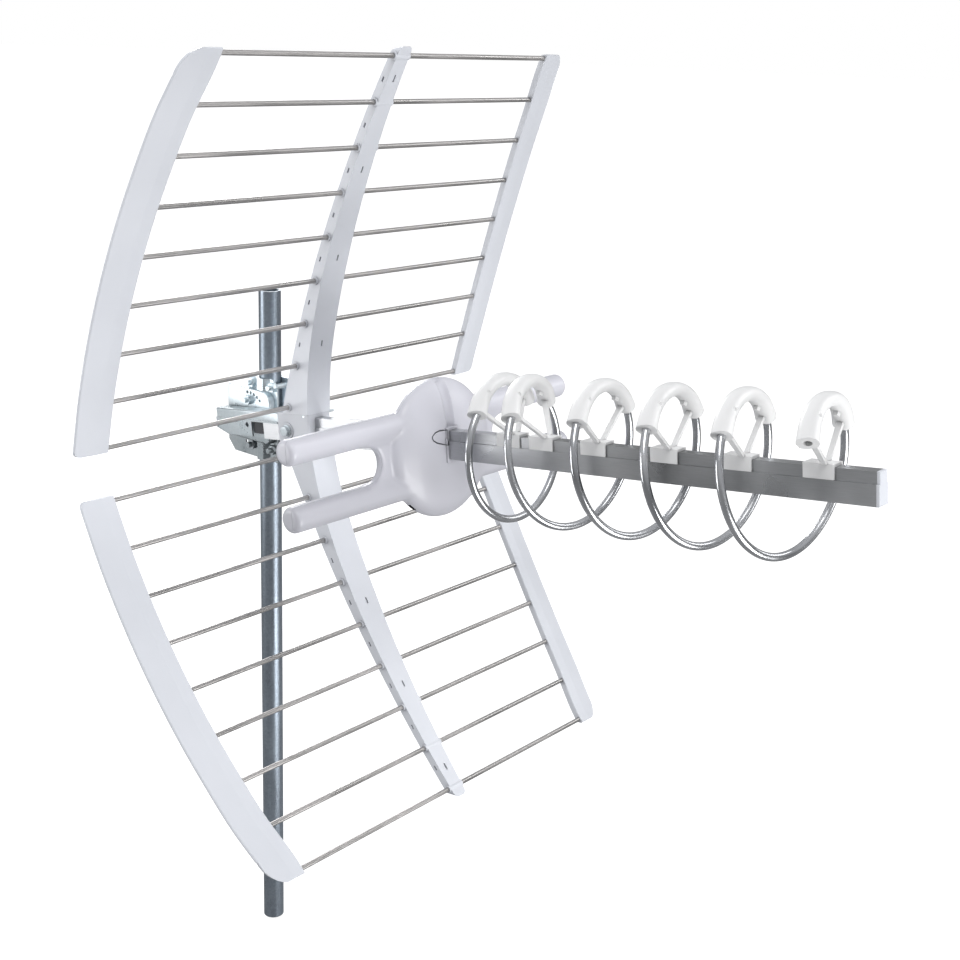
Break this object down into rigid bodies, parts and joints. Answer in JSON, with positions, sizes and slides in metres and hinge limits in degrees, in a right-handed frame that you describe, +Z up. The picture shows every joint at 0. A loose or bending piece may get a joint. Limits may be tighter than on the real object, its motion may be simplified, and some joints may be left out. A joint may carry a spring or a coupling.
{
  "type": "uhf television antenna",
  "caption": "Corner-reflector UHF TV antenna: two curved rod-grid wings, moulded dipole housing and helical director loops on a boom, clamped to a mast stub.",
  "frame": {"origin": "on the mast axis at the height where the boom's centre line passes beside it", "axes": "+Z up along the mast; +X forward along the antenna's heading, level; +Y to its left seen from above"},
  "size_m": [0.821, 0.5735, 1.0715],
  "materials": {
    "white_plastic": "satin moulded",
    "housing_plastic": "glossy moulded",
    "clip_plastic": "satin moulded",
    "black_plastic": "matt",
    "boom_aluminium": "extruded, satin",
    "rod_aluminium": "bright drawn",
    "loop_aluminium": "bright drawn",
    "zinc_steel": "zinc plated",
    "mast_steel": "galvanised"
  },
  "bodies": {
    "mast": {"mast_tube": "mast_steel"},
    "clamp": {"mast_saddle": "zinc_steel", "mast_jaw": "zinc_steel", "clamp_bolt_1": "zinc_steel", "clamp_bolt_2": "zinc_steel", "clamp_bolt_3": "zinc_steel", "clamp_bolt_4": "zinc_steel", "pivot_bolt": "zinc_steel", "index_pan": "zinc_steel", "lock_bolt": "zinc_steel"},
    "head": {"boom_bracket": "zinc_steel", "bracket_bolt": "zinc_steel", "boom": "boom_aluminium", "boom_end_cap": "white_plastic", "boom_tail_plug": "black_plastic", "reflector_hub": "white_plastic", "hub_bolt": "zinc_steel", "hub_pin": "zinc_steel", "spine_upper": "white_plastic", "spine_lower": "white_plastic", "rod_upper_1": "rod_aluminium", "rod_upper_2": "rod_aluminium", "rod_upper_3": "rod_aluminium", "rod_upper_4": "rod_aluminium", "rod_upper_5": "rod_aluminium", "rod_upper_6": "rod_aluminium", "rod_upper_7": "rod_aluminium", "rod_upper_8": "rod_aluminium", "rod_upper_9": "rod_aluminium", "rod_lower_1": "rod_aluminium", "rod_lower_2": "rod_aluminium", "rod_lower_3": "rod_aluminium", "rod_lower_4": "rod_aluminium", "rod_lower_5": "rod_aluminium", "rod_lower_6": "rod_aluminium", "rod_lower_7": "rod_aluminium", "rod_lower_8": "rod_aluminium", "rod_lower_9": "rod_aluminium", "end_plate_upper_left": "white_plastic", "end_plate_upper_right": "white_plastic", "end_plate_lower_left": "white_plastic", "end_plate_lower_right": "white_plastic", "dipole_front_shell": "housing_plastic", "dipole_rear_shell": "housing_plastic", "director_loop_1": "loop_aluminium", "director_loop_2": "loop_aluminium", "director_loop_3": "loop_aluminium", "director_loop_4": "loop_aluminium", "director_loop_5": "loop_aluminium", "director_clip_1": "clip_plastic", "director_clip_2": "clip_plastic", "director_clip_3": "clip_plastic", "director_clip_4": "clip_plastic", "director_clip_5": "clip_plastic", "director_clip_6": "clip_plastic"}
  },
  "joints": [
    {"name": "azimuth_turn", "type": "hinge", "parent": "mast", "child": "clamp", "pos_m": [0, 0, 0], "axis": [0, 0, 1], "continuous": true},
    {"name": "boom_tilt", "type": "hinge", "parent": "clamp", "child": "head", "pos_m": [-0.016, -0.02785, 0.003], "axis": [0, 1, 0], "range_deg": [-7, 7.7]}
  ]
}
